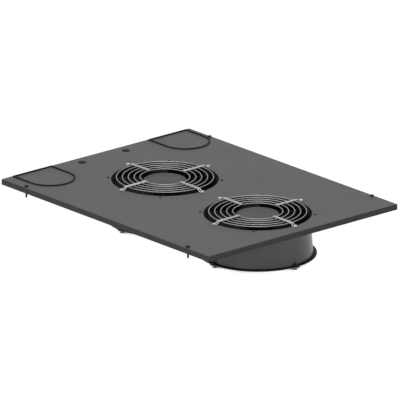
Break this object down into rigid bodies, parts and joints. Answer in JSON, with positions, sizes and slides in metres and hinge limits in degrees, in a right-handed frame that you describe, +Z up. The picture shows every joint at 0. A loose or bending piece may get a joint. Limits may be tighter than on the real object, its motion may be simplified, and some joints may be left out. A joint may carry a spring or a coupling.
{
  "type": "rack fan tray",
  "caption": "Folded steel roof panel with round shrouded axial fans under wire finger guards, closed cable entries at the rear corners and screws for a rack frame.",
  "frame": {"origin": "middle of the mounting screws, on the plane of the folded rim that sits on the rack", "axes": "+X across the width, +Y towards the rear edge with the cable entries, +Z up, the way the air leaves"},
  "size_m": [0.597, 0.764, 0.115],
  "materials": {
    "panel_paint": "fine textured powder coat",
    "shroud_paint": "satin powder coat",
    "bracket_paint": "satin black paint",
    "black_rubber": "matt",
    "black_steel": "black oxide",
    "zinc_plate": "bright zinc plate",
    "guard_plate": "bright plated wire",
    "natural_nylon": "moulded",
    "bearing_steel": "ground",
    "cast_aluminium": "as cast",
    "lamination_steel": "stamped edges",
    "winding_copper": "enamelled wire",
    "can_steel": "satin black",
    "impeller_plastic": "moulded, fine texture"
  },
  "bodies": {
    "root": {"bearings": "bearing_steel", "cable_cover_left": "panel_paint", "cable_cover_right": "panel_paint", "cover_seal_left": "black_rubber", "cover_seal_right": "black_rubber", "fan_shroud_front": "shroud_paint", "fan_shroud_rear": "shroud_paint", "flange_nuts": "black_steel", "hole_plugs": "black_rubber", "inlet_guard_bolts": "zinc_plate", "inlet_guard_front": "guard_plate", "inlet_guard_rear": "guard_plate", "lead_grommet_front": "black_rubber", "lead_grommet_rear": "black_rubber", "motor_base_front": "cast_aluminium", "motor_base_rear": "cast_aluminium", "motor_bracket_front": "bracket_paint", "motor_bracket_rear": "bracket_paint", "motor_screws": "zinc_plate", "mounting_screws": "black_steel", "outlet_guard_front": "guard_plate", "outlet_guard_rear": "guard_plate", "outlet_guard_screws": "zinc_plate", "screw_retainers": "natural_nylon", "shroud_screws": "black_steel", "stator_core_front": "lamination_steel", "stator_core_rear": "lamination_steel", "stator_windings_front": "winding_copper", "stator_windings_rear": "winding_copper", "top_panel": "panel_paint"},
    "rotor_front": {"impeller_front": "impeller_plastic", "rotor_can_front": "can_steel", "rotor_shaft_front": "bearing_steel", "shaft_clip_front": "black_steel"},
    "rotor_rear": {"impeller_rear": "impeller_plastic", "rotor_can_rear": "can_steel", "rotor_shaft_rear": "bearing_steel", "shaft_clip_rear": "black_steel"}
  },
  "joints": [
    {"name": "rotor_front_spin", "type": "hinge", "parent": "root", "child": "rotor_front", "pos_m": [0, -0.215, -0.02], "axis": [0, 0, 1], "continuous": true},
    {"name": "rotor_rear_spin", "type": "hinge", "parent": "root", "child": "rotor_rear", "pos_m": [0, 0.125, -0.02], "axis": [0, 0, 1], "continuous": true}
  ]
}
